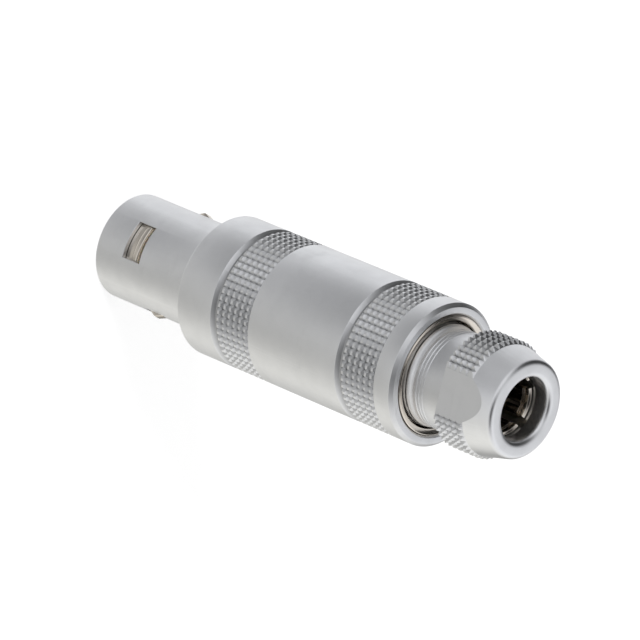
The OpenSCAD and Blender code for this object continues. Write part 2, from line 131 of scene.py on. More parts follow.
class PlugShellSettings(bpy.types.PropertyGroup):
    """Sizes of the sliding shell"""

    grip_radius: length("Grip radius", "Outside of the grip", SHELL_HIGH.x / MM)
    rear_end: length("Rear end", "Height of the grip's rear face", SHELL_HIGH.z / MM)
    nose_radius: length("Nose radius", "Outside of the nose tube", 4.5)
    nose_bore: length("Nose bore", "Inside radius of the nose tube", 4.15)
    nose_length: length("Nose length", "Length of the nose ahead of the grip", 11.4)
    grip_bore: length("Grip bore", "Inside radius of the grip", 5.05)
    bore_floor: length("Bore floor", "Height of the floor of the grip's bore", 13.0)
    front_knurl: length("Front knurl", "Height where the front knurl's groove starts", 15.25)
    rear_knurl: length("Rear knurl", "Height where the rear knurl's groove starts", 29.45)
    groove_depth: length("Groove depth", "Depth of the groove ahead of a knurl", 0.3)
    groove_floor: length("Groove floor", "Width of that groove's floor", 0.25)
    wall_run: length("Wall run", "Run of the wall behind a knurl", 0.08)
    tip_bevel: length("Tip bevel", "Bevel on the edge of the tip", 0.08)
    rear_bevel: length("Rear bevel", "Bevel on the rear edge", 0.3)
    bore_bevel: length("Bore bevel", "Bevel at the bore's mouth", 0.16)
    edge_break: length("Edge break", "Rounding of the turned edges", 0.05)
    key_window_width: length("Key window width", "Width of the windows over the snap lugs", 3.26)
    key_window_start: length("Key window start", "Height of the key windows' front edge", 3.12)
    key_window_length: length("Key window length", "Length of the key windows", 1.94)
    latch_window_width: length("Latch window width", "Width of the windows for the teeth", 1.04)
    latch_window_start: length("Latch window start", "Height of the latch windows' front edge", 4.14)
    latch_window_length: length("Latch window length", "Length of the latch windows", 2.6)
    window_break: length("Window break", "Bevel around the windows", 0.03)


class PlugNutSettings(bpy.types.PropertyGroup):
    """Sizes of the collet nut"""

    start: length("Start", "Height of the thread's first turn", NUT_LOW.z / MM)
    end: length("End", "Height of the nut's mouth", NUT_HIGH.z / MM)
    thread_radius: length("Thread radius", "Crest of the thread", 4.4)
    thread_depth: length("Thread depth", "Depth of the thread", 0.16)
    thread_pitch: length("Thread pitch", "Rise of the thread in one turn", 0.6)
    thread_end: length("Thread end", "Height where the thread's rows end", 37.2)
    thread_sunk: length("Thread sunk", "Height where the thread has sunk to the neck", 36.3)
    lines: count("Lines", "Fine tool lines behind the thread", 3)
    first_line: length("First line", "Height of the first tool line", 36.65)
    line_pitch: length("Line pitch", "Spacing of the tool lines", 0.35)
    line_width: length("Line width", "Width of a tool line", 0.1)
    line_depth: length("Line depth", "Depth of a tool line", 0.035)
    neck_radius: length("Neck radius", "Outside of the plain neck", 4.12)
    knurl_start: length("Knurl start", "Height of the shoulder ahead of the knurl", 39.3)
    knurl_end: length("Knurl end", "Height of the knurl's rear end", 41.95)
    knurl_radius: length("Knurl radius", "Outside of the knurl", 4.94)
    first_valley: length("First valley", "Shoulder to the first ring valley", 0.36)
    bevel: length("Bevel", "Bevel behind the knurl", 0.29)
    taper: angle("Taper", "Half angle of the tapered end", 13.5)
    end_rounding: length("End rounding", "Rounding of the outer edge of the mouth", 0.5)
    inlet_rounding: length("Inlet rounding", "Rounding of the inner edge of the mouth", 0.55)
    inlet_radius: length("Inlet radius", "Inside of the cable inlet", 2.63)
    inlet_floor: length("Inlet floor", "Height where the inlet opens into the cone", 43.23)
    cone_floor: length("Cone floor", "Height where the cone meets the bore", 41.5)
    bore: length("Bore", "Inside radius around the collet", 3.4)
    flat_distance: length("Flat distance", "Distance from the axis to a wrench flat", 4.3)
    flat_direction: angle("Flat direction", "Direction of the first wrench flat", 109.8)
    edge_break: length("Edge break", "Rounding of the turned edges", 0.04)


class PlugSleeveSettings(bpy.types.PropertyGroup):
    """Sizes of the latch sleeve inside the shell"""

    front: length("Front", "Height of the sleeve's front end", SLEEVE_LOW.z / MM)
    rear_end: length("Rear end", "Height of the rim behind the grip", SLEEVE_HIGH.z / MM)
    radius: length("Radius", "Outside of the sleeve in the grip", 5.0)
    bore: length("Bore", "Inside of the sleeve in the grip", 4.5)
    nose_radius: length("Nose radius", "Outside of the sleeve in the nose", 4.1)
    nose_bore: length("Nose bore", "Inside of the sleeve in the nose", 3.65)
    step: length("Step", "Height where the sleeve widens", 13.76)
    seat: length("Seat", "Height of the shoulder for the insert", 14.96)
    rim_bevel: length("Rim bevel", "Bevel on the rim's outer edge", 0.08)
    rim_dish: length("Rim dish", "How far the rim slopes in towards the bore", 0.16)
    mouth_sink: length("Mouth sink", "Bevel at the mouth of the bore", 0.08)
    arm_width: length("Arm width", "Width of a latch arm", 2.2)
    arm_slit: length("Arm slit", "Width of the slits around a latch arm", 0.3)
    arm_tip: length("Arm tip", "Height of a latch arm's free end", 4.76)
    arm_length: length("Arm length", "Length of a latch arm", 7.0)
    tooth_start: length("Tooth start", "Height of a tooth's front foot", 4.96)
    tooth_width: length("Tooth width", "Width of a tooth", 0.8)
    tooth_top: length("Tooth top", "Distance of a tooth's crest from the axis", 4.79)
    tooth_foot: length("Tooth foot", "Distance of a tooth's feet from the axis", 4.44)
    tooth_front: length("Tooth front", "Run of a tooth's front ramp", 0.74)
    tooth_back: length("Tooth back", "Run of a tooth's rear ramp, with its flat", 0.92)
    lug_start: length("Lug start", "Height of a snap lug's front edge", 3.88)
    lug_length: length("Lug length", "Length of a snap lug", 0.7)
    lug_width: length("Lug width", "Width of a snap lug", 3.1)
    lug_top: length("Lug top", "Distance of a snap lug's face from the axis", 4.36)
    lug_ramp: length("Lug ramp", "Run of the ramp ahead of a snap lug", 0.2)
    slot_width: length("Slot width", "Width of the slot behind a snap lug", 3.26)
    slot_length: length("Slot length", "Length of the slot behind a snap lug", 0.6)
    edge_break: length("Edge break", "Rounding of the edges", 0.05)


class PlugColletSettings(bpy.types.PropertyGroup):
    """Sizes of the slotted collet"""

    start: length("Start", "Height of the collet's front end", COLLET_LOW.z / MM)
    end: length("End", "Height of the ends of the fingers", COLLET_HIGH.z / MM)
    bore: length("Bore", "Inside radius around the cable", 2.45)
    radius: length("Radius", "Outside of the fingers", 3.32)
    end_radius: length("End radius", "Outside of the fingers at their ends", 2.75)
    cone_run: length("Cone run", "Length of the tapered ends of the fingers", 1.28)
    flange_radius: length("Flange radius", "Outside of the flange", 4.42)
    flange_length: length("Flange length", "Length of the flange", 2.7)
    seat_mouth: length("Seat mouth", "Mouth of the seat for the earthing cone", 3.8)
    seat_floor: length("Seat floor", "Floor of the seat for the earthing cone", 3.13)
    seat_depth: length("Seat depth", "Depth of the seat for the earthing cone", 2.3)
    slots: count("Slots", "Slots between the fingers", 5)
    slot_width: length("Slot width", "Width of a slot", 0.8)
    slot_length: length("Slot length", "Length of a slot", 7.0)
    slot_direction: angle("Slot direction", "Direction of the first slot", 253.6)
    grooves: count("Grooves", "Gripping grooves in the bore", 2)
    groove_pitch: length("Groove pitch", "Spacing of the gripping grooves", 0.2)
    groove_width: length("Groove width", "Width of a gripping groove", 0.1)
    groove_depth: length("Groove depth", "Depth of a gripping groove", 0.17)
    groove_set: length("Groove set", "Ends of the fingers to the first groove", 0.42)
    mouth_width: length("Mouth width", "How far the bore widens at the ends of the fingers", 0.22)
    mouth_depth: length("Mouth depth", "Length of that widening", 0.38)
    edge_break: length("Edge break", "Rounding of the edges", 0.08)


class PlugFinishSettings(bpy.types.PropertyGroup):
    """Colours and roughness of the finishes"""

    satin: colour("Satin chrome", "Colour of the plated shell and nut", (0.865, 0.87, 0.88))
    satin_roughness: share("Satin roughness", "Roughness of the plated shell", 0.4)
    nut_roughness: share("Nut roughness", "Roughness of the plated nut", 0.33)
    nickel: colour("Nickel", "Colour of the sleeve, collet and cone", (0.80, 0.74, 0.66))
    nickel_roughness: share("Nickel roughness", "Roughness of the nickel pieces", 0.13)
    gold: colour("Gold", "Colour of the centre contact", (0.86, 0.64, 0.25))
    brass: colour("Brass", "Colour of the insert carrier", (0.72, 0.58, 0.32))
    insulator: colour("Insulator", "Colour of the insulators", (0.88, 0.88, 0.86))


class PlugStageSettings(bpy.types.PropertyGroup):
    """Camera, lights and floor"""

    camera_place: FloatVectorProperty(
        name="Camera place", description="Where the camera stands", size=3, unit="LENGTH",
        default=(-0.03356, 0.36180, 0.32766),
    )
    camera_right: FloatVectorProperty(
        name="Camera right", description="Direction to the right of the picture", size=3,
        default=(0.44090, -0.55523, 0.70522), subtype="DIRECTION",
    )
    camera_up: FloatVectorProperty(
        name="Camera up", description="Direction to the top of the picture", size=3,
        default=(0.89472, 0.33424, -0.29623), subtype="DIRECTION",
    )
    lens: FloatProperty(name="Lens", description="Focal length in millimetres", default=330.7)
    floor_size: length("Floor size", "Side of the floor", 4000.0)
    floor_colour: colour("Floor", "Colour of the floor", (0.85, 0.85, 0.85))
    soft_light: share("Soft light", "Level of the light from all around", 0.6)
    key_power: FloatProperty(name="Key power", description="Power of the key lamp in watts", default=0.5)


# Turned meshes, which are made in millimetres

SLIVER = 1e-4  # points that a cut leaves closer than this are joined
SAME = 1e-6  # points of an outline this near are in the same place
SAME_STORED = 1e-4  # and so are points of a mesh, which holds them less exactly
FLAT = 1e-5  # a face bent less than this stays one quad
FINE = 0.02  # the finest edge that is made
PAST = 0.5  # how far a cutter reaches past what it cuts
JUST_PAST = 1.01  # times a valley's depth, to take in its floor
MOST_REACH = 0.45  # the most of an edge that the rounding at one of its ends takes
VALLEY_PAINTED_SHADE, PIT_PAINTED_SHADE = 0.2, 0.8  # painted shade: how dark a knurl's valleys are, and what the pits where two cross add


def in_millimetres(settings):
    """The settings of a group by name, with its lengths in millimetres."""
    read = {}
    for name in type(settings).__annotations__:
        value = getattr(settings, name)
        is_length = settings.bl_rna.properties[name].unit == "LENGTH"
        read[name] = value / MM if is_length else value
    return SimpleNamespace(**read)


def rounded_outline(corners, steps=4):
    """Points of a closed outline in the r, z plane, from corners given as (r, z, rounding)."""
    points = []
    for i, (r, z, rounding) in enumerate(corners):
        here = Vector((r, z))
        if rounding <= 0.0:
            points.append((r, z))
            continue
        before = Vector(corners[i - 1][:2]) - here
        after = Vector(corners[(i + 1) % len(corners)][:2]) - here
        reach = rounding / math.tan(before.angle(after) / 2)
        reach = min(reach, MOST_REACH * before.length, MOST_REACH * after.length)
        before.normalize()
        after.normalize()
        for k in range(steps + 1):
            t = k / steps
            p = here + reach * ((1 - t) ** 2 * before + t ** 2 * after)
            points.append((p.x, p.y))
    return points


def ring_valley(r, depth, z, half, steps):
    """Corners of one ring valley of a knurl, with its two ramps split into steps."""
    down = [(r - depth * k / steps, z - half + half * k / steps, 0.0) for k in range(steps + 1)]
    up = [(r - depth * (1 - k / steps), z + half * k / steps, 0.0) for k in range(1, steps + 1)]
    return down + up


def knurl_columns(points, r, land, steps):
    """Angles of the columns around a knurl, and the height of the flutes there from 0 to 1."""
    spacing = 2 * math.pi * r / points
    ramp = (spacing - land) / 2
    places = [(ramp * k / steps, k / steps) for k in range(steps + 1)]
    places += [(spacing - ramp * k / steps, k / steps) for k in range(steps, 0, -1)]
    angles, heights = [], []
    for i in range(points):
        for place, height in places:
            angles.append((i - 0.5 + place / spacing) * 2 * math.pi / points)
            heights.append(height)
    return angles, heights


def even_columns(count):
    """Angles of columns spaced evenly around the axis."""
    return [2 * math.pi * i / count for i in range(count)]


def new_mesh(name, bm):
    """The mesh made in bm, which is freed."""
    mesh = bpy.data.meshes.new(name)
    bm.to_mesh(mesh)
    bm.free()
    return mesh


def lathe(bm, outline, angles, radius_at=lambda r, z, column: r, whole=True):
    """Adds a turned body to bm; radius_at(r, z, column) gives each point's own radius.

    A whole body closes on itself, and a part of a turn gets flat ends.
    """
    rows = []
    for r, z in outline:
        row = []
        for j, angle in enumerate(angles):
            own = radius_at(r, z, j)
            row.append(bm.verts.new((own * math.cos(angle), own * math.sin(angle), z)))
        rows.append(row)
    made = []
    for low, high in zip(rows, rows[1:] + rows[:1]):
        for j in range(len(angles) if whole else len(angles) - 1):
            k = (j + 1) % len(angles)
            quad = (low[j], low[k], high[k], high[j])
            far = [v.co.xy.length for v in quad]
            bend = far[0] + far[2] - far[1] - far[3]
            if abs(bend) < FLAT:
                made.append(bm.faces.new(quad))
                continue
            a, b, c, d = quad
            halves = ((a, b, c), (a, c, d)) if bend > 0 else ((b, c, d), (b, d, a))
            made += [bm.faces.new(half) for half in halves]
    if not whole:
        made += [bm.faces.new([row[j] for row in rows]) for j in (0, -1)]
    bmesh.ops.recalc_face_normals(bm, faces=made)


def bridge(bm, low, high):
    """Faces between two closed rings with as many points each."""
    quads = zip(low, low[1:] + low[:1], high[1:] + high[:1], high)
    return [bm.faces.new(quad) for quad in quads]


def prism(bm, outline, low, high, turn=0.0):
    """Adds an upright prism to bm, from its (x, y) corners, turned about the axis."""
    spin = Matrix.Rotation(turn, 3, "Z")
    rings = [[bm.verts.new(spin @ Vector((x, y, z))) for x, y in outline] for z in (low, high)]
    made = [bm.faces.new(ring) for ring in rings] + bridge(bm, *rings)
    bmesh.ops.recalc_face_normals(bm, faces=made)


def block(bm, x, y, z, turn=0.0):
    """Adds a block to bm from its two ends along each axis."""
    prism(bm, [(x[0], y[0]), (x[1], y[0]), (x[1], y[1]), (x[0], y[1])], *z, turn)


def carve(mesh, tool, operation="DIFFERENCE"):
    """The mesh with the tool's volume taken off, or joined on."""
    body = bpy.data.objects.new("body_to_cut", mesh)
    cutter = bpy.data.objects.new("cutter", tool)
    for o in (body, cutter):
        bpy.context.scene.collection.objects.link(o)
    cut = body.modifiers.new("Cut", "BOOLEAN")
    cut.operation = operation
    cut.solver = "EXACT"
    cut.object = cutter
    bpy.context.view_layer.update()
    made = bpy.data.meshes.new_from_object(body.evaluated_get(bpy.context.evaluated_depsgraph_get()))
    for o in (body, cutter):
        bpy.data.objects.remove(o)
    for used in (mesh, tool):
        bpy.data.meshes.remove(used)
    if not made.polygons:
        raise RuntimeError("a cut left nothing of the piece")
    bm = bmesh.new()
    bm.from_mesh(made)
    bmesh.ops.remove_doubles(bm, verts=bm.verts, dist=SLIVER)
    bmesh.ops.dissolve_degenerate(bm, edges=bm.edges, dist=SLIVER)
    bm.to_mesh(made)
    bm.free()
    return made


def sharpen_around(mesh, chosen):
    """Makes the edge of the faces that chosen(face) picks out a crisp one."""
    bm = bmesh.new()
    bm.from_mesh(mesh)
    for edge in bm.edges:
        if len({chosen(face) for face in edge.link_faces}) == 2:
            edge.smooth = False
    bm.to_mesh(mesh)
    bm.free()


def mark_valleys(mesh, crest, points, land, pitch, rings, knurled, elsewhere=lambda place: 0.0):
    """Stores painted shade on a knurl: a little along its valleys, and most where two of them cross.

    The points stand around the axis, rings lists the heights of the ring valleys, knurled(place) picks out
    the points of the mesh that the knurl covers, and elsewhere(place) gives the painted shade of the
    others.
    """
    spacing = 2 * math.pi * crest / points
    valley = mesh.attributes.new("valley", "FLOAT", "POINT")
    for vertex, stored in zip(mesh.vertices, valley.data):
        if not knurled(vertex.co):
            stored.value = elsewhere(vertex.co)
            continue
        turn = math.atan2(vertex.co.y, vertex.co.x) / (2 * math.pi) * points
        from_flute = abs((turn % 1.0) - 0.5)
        flute = max(0.0, 1.0 - 2 * from_flute * spacing / (spacing - land))
        nearest = min(abs(vertex.co.z - z) for z in rings)
        ring = max(0.0, 1.0 - 2 * nearest / (pitch - land))
        # painted shade: darkest in the pits, where shade falls deepest among the points
        stored.value = VALLEY_PAINTED_SHADE * max(flute, ring) ** 2 + PIT_PAINTED_SHADE * flute * ring


def finish_piece(name, mesh, node, material, crease=math.radians(32)):
    """Puts a mesh made in millimetres in the frame, in the place of a CAD node."""
    mesh.transform(Matrix.Scale(MM, 4))
    mesh.polygons.foreach_set("use_smooth", [True] * len(mesh.polygons))
    mesh.set_sharp_from_angle(angle=crease)
    mesh.name = name
    mesh.materials.clear()
    mesh.materials.append(material)
    piece = bpy.data.objects.new(name, mesh)
    bpy.context.scene.collection.objects.link(piece)
    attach(piece, next(b for b, nodes in frame["record"]["behaviour"]["bodies"].items() if node in nodes))
    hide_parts(node)
    return piece


# Finishes

# Tones of a metal, as shares of its own colour; the last one is painted shade for its hollows
DULL, RUBBED, STAINED, HOLLOW_PAINTED_SHADE = 0.91, 1.03, 0.72, 0.25
# Changes of its roughness: up where it is dull, down where it is clear, down by rubbing, up by a stain
DULL_ROUGHER, CLEAR_SMOOTHER, RUBBED_SMOOTHER, STAINED_ROUGHER = 0.04, 0.03, 0.12, 0.1
FINE_SHARE = 0.35  # of the fine grain in the shade, whose rest is the blotches
INSULATOR_DULL = 0.94  # tone of the insulator's duller places


class Nodes:
    """Short ways to add and join shader nodes in one tree."""

    def __init__(self, tree):
        self.tree = tree

    def add(self, kind, inputs=None, **values):
        """A node; values name its properties, and inputs are numbers, colours or sockets."""
        node = self.tree.nodes.new(kind)
        for name, value in values.items():
            setattr(node, name, value)
        for socket, value in (inputs or {}).items():
            if isinstance(value, bpy.types.NodeSocket):
                self.link(value, node.inputs[socket])
            else:
                node.inputs[socket].default_value = value
        return node

    def link(self, a, b):
        """Joins an output to an input."""
        self.tree.links.new(a, b)

    def math(self, operation, a, b=0.0, clamp=False):
        """The result of one math step."""
        return self.add("ShaderNodeMath", {0: a, 1: b}, operation=operation, use_clamp=clamp).outputs[0]

    def mix(self, kind, amount, under, over):
        """Two values of a kind, FLOAT or RGBA, mixed by the amount of the second."""
        first, result = {"FLOAT": (2, 0), "RGBA": (6, 2)}[kind]
        inputs = {0: amount, first: under, first + 1: over}
        return self.add("ShaderNodeMix", inputs, data_type=kind).outputs[result]

    def spread(self, value, reach, low, high):
        """A value that runs over a reach, spread so that it runs from low to high."""
        inputs = {"Value": value, "From Min": reach[0], "From Max": reach[1], "To Min": low, "To Max": high}
        return self.add("ShaderNodeMapRange", inputs).outputs[0]

    def noise(self, size, inputs):
        """Noise from 0 to 1 on the piece itself, with spots of a size in millimetres."""
        place = self.add("ShaderNodeTexCoord").outputs["Object"]
        scale = self.math("DIVIDE", 1.0 / MM, size)
        return self.add("ShaderNodeTexNoise", {"Vector": place, "Scale": scale, **inputs}).outputs["Fac"]

    def bump(self, height):
        """The normal of a surface that is raised by a height in metres."""
        return self.add("ShaderNodeBump", {"Strength": 1.0, "Distance": 1.0, "Height": height}).outputs[0]


def made_once(make):
    """Lets a node group be made on its first use and be found again after that."""

    @functools.wraps(make)
    def found():
        name = make.__name__.replace("_", " ").capitalize()
        return bpy.data.node_groups.get(name) or make(name)

    return found


def group(name, inputs, outputs, kind="NodeSocketFloat"):
    """A new shader node group, with inputs of a kind and float outputs, and its two ends."""
    tree = bpy.data.node_groups.new(name, "ShaderNodeTree")
    for label, value in inputs.items():
        socket = tree.interface.new_socket(label, in_out="INPUT", socket_type=kind)
        socket.default_value = value
    for label in outputs:
        tree.interface.new_socket(label, in_out="OUTPUT", socket_type="NodeSocketFloat")
    nodes = Nodes(tree)
    return nodes, nodes.add("NodeGroupInput").outputs, nodes.add("NodeGroupOutput").inputs


@made_once
def plating_grain(name):
    """Fine matt grain of a blasted and plated surface."""
    nodes, given, out = group(name, {"Grain size": 0.05, "Blotch size": 3.0}, ["Height", "Shade"])
    fine = nodes.noise(given["Grain size"], {"Detail": 2.0, "Roughness": 0.6})
    blotch = nodes.noise(given["Blotch size"], {"Detail": 4.0, "Roughness": 0.55})
    nodes.link(fine, out["Height"])
    nodes.link(nodes.mix("FLOAT", FINE_SHARE, blotch, fine), out["Shade"])
    return nodes.tree


@made_once
def turning_marks(name):
    """Fine rings that a turning tool leaves around the axis."""
    nodes, given, out = group(name, {"Ring spacing": 0.06}, ["Height"])
    point = nodes.add("ShaderNodeTexCoord").outputs["Object"]
    place = nodes.add("ShaderNodeSeparateXYZ", {0: point}).outputs
    squares = [nodes.math("POWER", place[axis], 2.0) for axis in ("X", "Y")]
    radius = nodes.math("POWER", nodes.math("ADD", *squares), 0.5)
    along = nodes.math("ADD", place["Z"], radius)
    turns = nodes.math("MULTIPLY", along, nodes.math("DIVIDE", 1.0 / MM, given["Ring spacing"]))
    inputs = {"W": turns, "Scale": 1.0, "Detail": 2.0}
    rings = nodes.add("ShaderNodeTexNoise", inputs, noise_dimensions="1D").outputs["Fac"]
    nodes.link(rings, out["Height"])
    return nodes.tree


@made_once
def handling_wear(name):
    """Where edges are rubbed bright, from how the surface turns, and the painted shade that darkens a
    knurl's valleys and grooves.
    """
    nodes, given, out = group(name, {"Reach": 0.03, "Patch size": 10 / 9}, ["Wear", "Hollow"])
    turn = nodes.add("ShaderNodeNewGeometry").outputs["Pointiness"]
    broken = nodes.noise(given["Patch size"], {"Detail": 3.0})
    rubbed = nodes.math("DIVIDE", nodes.math("SUBTRACT", turn, 0.5), given["Reach"], clamp=True)
    nodes.link(nodes.math("MULTIPLY", rubbed, broken), out["Wear"])
    # Hollow carries the painted shade stored in the knurls' valleys and grooves
    nodes.link(nodes.add("ShaderNodeAttribute", attribute_name="valley").outputs["Fac"], out["Hollow"])
    return nodes.tree


@made_once
def faint_stains(name):
    """Sparse cloudy marks that handling leaves on matt plating."""
    nodes, given, out = group(name, {"Stain size": 3.0, "Cover": 0.35, "Edge": 6.0}, ["Stain"])
    cloud = nodes.noise(given["Stain size"], {"Detail": 5.0, "Roughness": 0.6, "Distortion": 0.6})
    # The more cover there is, the lower the noise at which a stain starts
    start = nodes.math("SUBTRACT", 0.75, nodes.math("MULTIPLY", given["Cover"], 0.5))
    over = nodes.math("MULTIPLY", nodes.math("SUBTRACT", cloud, start), given["Edge"], clamp=True)
    nodes.link(over, out["Stain"])
    return nodes.tree


def metal(
    name, base, roughness, grain, grain_depth, rings, ring_depth, wear, blotch=3.0, painted_hollow_shade=0.0, stain=0.0
):
    """A metal finish with grain, turning marks, faint shade changes, rubbed edges and painted shade in its
    hollows.

    The sizes of the grain, the rings and the blotches and the two depths are in millimetres.
    """
    material = bpy.data.materials.new(name)
    material.use_nodes = True
    nodes = Nodes(material.node_tree)
    shader = material.node_tree.nodes["Principled BSDF"].inputs
    shader["Metallic"].default_value = 1.0

    def effect(tree, **sizes):
        """The outputs of one shared effect, with its sizes set."""
        inputs = {label.replace("_", " ").capitalize(): size for label, size in sizes.items()}
        return nodes.add("ShaderNodeGroup", inputs, node_tree=tree).outputs

    def part(amount, most):
        """An amount from 0 to 1, turned down to its most."""
        return nodes.math("MULTIPLY", amount, most)

    surface = effect(plating_grain(), grain_size=grain, blotch_size=blotch)
    turned = effect(turning_marks(), ring_spacing=rings)
    worn_and_shaded, marks = effect(handling_wear()), effect(faint_stains())
    layers = (
        (nodes.spread(surface["Shade"], (0.3, 0.7), 0.0, 1.0), 1.0),
        (part(marks["Stain"], stain), STAINED),
        # painted shade in the hollows
        (part(worn_and_shaded["Hollow"], painted_hollow_shade), HOLLOW_PAINTED_SHADE),
        (part(worn_and_shaded["Wear"], wear), RUBBED),
    )
    tone = (*[DULL * c for c in base], 1.0)
    for amount, bright in layers:
        tone = nodes.mix("RGBA", amount, tone, (*[bright * c for c in base], 1.0))
    nodes.link(tone, shader["Base Color"])
    rough = nodes.spread(
        surface["Shade"], (0.25, 0.75), roughness + DULL_ROUGHER, roughness - CLEAR_SMOOTHER
    )
    rough = nodes.math("SUBTRACT", rough, part(worn_and_shaded["Wear"], RUBBED_SMOOTHER * wear))
    rough = nodes.math("ADD", rough, part(marks["Stain"], STAINED_ROUGHER * stain))
    nodes.link(rough, shader["Roughness"])
    heights = part(surface["Height"], grain_depth * MM), part(turned["Height"], ring_depth * MM)
    nodes.link(nodes.bump(nodes.math("ADD", *heights)), shader["Normal"])
    return material


def satin_chrome(name, roughness):
    """Matt chrome of the shell and the nut."""
    look = bpy.context.scene.plug_finish
    return bpy.data.materials.get(name) or metal(
        name, look.satin, roughness, grain=0.05, grain_depth=0.004,
        rings=0.09, ring_depth=0.002, wear=0.5, painted_hollow_shade=0.9, stain=0.25, blotch=1.6,
    )


def bright_nickel():
    """Warm nickel of the sleeve, the collet and the cone."""
    look = bpy.context.scene.plug_finish
    return bpy.data.materials.get("Bright nickel") or metal(
        "Bright nickel", look.nickel, look.nickel_roughness, grain=0.08, grain_depth=0.001,
        rings=0.05, ring_depth=0.0015, wear=0.5,
    )


def set_finish(node, material):
    """Gives a CAD node its finish."""
    mesh_object = frame["nodes"][node]
    if not mesh_object.material_slots:
        mesh_object.data.materials.append(material)
    for slot in mesh_object.material_slots:
        slot.material = material


# Pieces

GROOVE_PAINTED_SHADE = 0.6  # painted shade: how dark the floor of the groove ahead of a knurl is
TURN_ROWS = 12  # rows of points along one turn of the nut's thread
BEVEL_ROWS = 4  # rows of points down the bevel behind the nut's knurl
FLANK, ENTRY, RUN_OUT = 0.3, 0.5, 3.0  # turns of the thread on one flank, to full height and in its run-out
BESIDE = 1e-3  # a point of the nut nearer than this to a wrench flat lies on it
FACING = 0.9999  # least cosine between a wrench flat's own direction and the normals of its faces
SLEEVE_COLUMNS, COLLET_COLUMNS = 144, 120  # columns of points around them
ARCH_COLUMNS = (0.75, 0.4)  # columns between the rounded side and the middle of a tooth or lug
SIDE_STEP = 0.3  # share of such a side's rounding at its middle column
OPPOSITE_SIDES = (0.0, math.pi)
# Roundings as multiples of the edge break: the grip's front shoulder, the crest of a tooth or lug,
# the rear of a lug, and the sides of both
SHOULDER_SOFT, CREST_SOFT, LUG_REAR_SOFT, SIDE_SOFT = 1.6, 6, 3, 2


class PLUG_OT_shell(bpy.types.Operator):
    """Turns the sliding shell with its knurled bands and windows"""

    bl_idname = "plug.shell"
    bl_label = "Shell"

    def execute(self, context):
        s, k = in_millimetres(context.scene.plug_shell), in_millimetres(context.scene.plug_knurl)
        soft, grip, end = s.edge_break, s.grip_radius, s.rear_end
        nose, bore, wide = s.nose_radius, s.nose_bore, s.grip_bore
        depth, land, pitch = k.grip_depth, k.grip_land, k.pitch
        deep, groove = s.groove_depth, s.groove_depth + s.groove_floor
        firsts = [start + groove for start in (s.front_knurl, s.rear_knurl)]
        zones = [(first, first + k.grip_rows * pitch) for first in firsts]

        def band(first, last):
            """Corners of one knurled band with the groove ahead of it."""
            start = first - groove
            half = (pitch - land) / 2
            corners = [
                (grip, start, soft), (grip - deep, start + deep, soft / 2),
                (grip - deep, first - FINE, 0.0),
            ]
            for i in range(k.grip_rows + 1):
                rings = ring_valley(grip, depth, first + i * pitch, half, k.ramp_steps)
                if i == 0:
                    rings = rings[k.ramp_steps:]
                if i == k.grip_rows:
                    rings = rings[:k.ramp_steps + 1]
                corners += rings
            return corners + [(grip, last + s.wall_run, soft / 2)]

        def radius_at(r, z, column):
            """Sinks the flutes into the knurled bands."""
            fluted = r > wide and any(low - SAME <= z <= high + SAME for low, high in zones)
            return min(r, grip - depth * (1 - heights[column])) if fluted else r

        def knurled(place):
            """Whether a point of the mesh lies on a knurled band."""
            banded = any(low - SAME_STORED < place.z < high + SAME_STORED for low, high in zones)
            return banded and place.xy.length > grip - JUST_PAST * depth

        def in_groove(place):
            """Painted shade of a point that lies in the groove ahead of a band."""
            sunk = (grip - place.xy.length) / deep
            ahead = any(first - groove < place.z < first + SAME_STORED for first in firsts)
            return GROOVE_PAINTED_SHADE * sunk if ahead and sunk < JUST_PAST else 0.0

        bevel, mouth, tip = s.rear_bevel, s.bore_bevel, s.tip_bevel
        corners = [
            (bore, 0.0, FINE), (nose - tip, 0.0, FINE), (nose, tip, soft / 2),
            (nose, s.nose_length, soft), (grip, s.nose_length, SHOULDER_SOFT * soft),
        ]
        for zone in zones:
            corners += band(*zone)
        corners += [
            (grip, end - bevel, soft), (grip - bevel, end, soft), (wide + mouth, end, soft / 2),
            (wide, end - mouth, soft / 2), (wide, s.bore_floor, 0.0), (bore, s.bore_floor, 0.0),
        ]
        angles, heights = knurl_columns(k.grip_points, grip, land, k.ramp_steps)
        body, windows = bmesh.new(), bmesh.new()
        lathe(body, rounded_outline(corners), angles, radius_at)
        latch = (s.latch_window_width, s.latch_window_start, s.latch_window_length)
        key = (s.key_window_width, s.key_window_start, s.key_window_length)
        for side in OPPOSITE_SIDES:
            self.window(windows, s, *latch, side)
            self.window(windows, s, *key, side + math.pi / 2)
        mesh = carve(new_mesh("shell", body), new_mesh("windows", windows))
        rings = [first + i * pitch for first in firsts for i in range(k.grip_rows + 1)]
        mark_valleys(mesh, grip, k.grip_points, land, pitch, rings, knurled, in_groove)
        finish = satin_chrome("Satin chrome", context.scene.plug_finish.satin_roughness)
        finish_piece("shell_turned", mesh, "outer_shell", finish)
        return {"FINISHED"}

    @staticmethod
    def window(bm, s, width, start, long, turn, columns=16):
        """Adds a cutter for one window that widens just under the surface, turned from +X."""
        spin = Matrix.Rotation(turn, 3, "Z")
        nose, flare = s.nose_radius, s.window_break
        loops = []
        for r, more in ((s.nose_bore - PAST, 0.0), (nose - flare, 0.0), (nose + flare, 2 * flare)):
            half = width / 2 + more
            across = [half * (2 * i / columns - 1) for i in range(columns + 1)]
            low = [(y, start - more) for y in across]
            high = [(y, start + long + more) for y in reversed(across)]
            points = [Vector((math.sqrt(r * r - y * y), y, z)) for y, z in low + high]
            loops.append([bm.verts.new(spin @ point) for point in points])
        made = []
        for low, high in zip(loops, loops[1:]):
            made += bridge(bm, low, high)
        for loop in (loops[0], loops[-1]):
            for i in range(columns):
                made.append(bm.faces.new((loop[i], loop[i + 1], loop[-2 - i], loop[-1 - i])))
        bmesh.ops.recalc_face_normals(bm, faces=made)


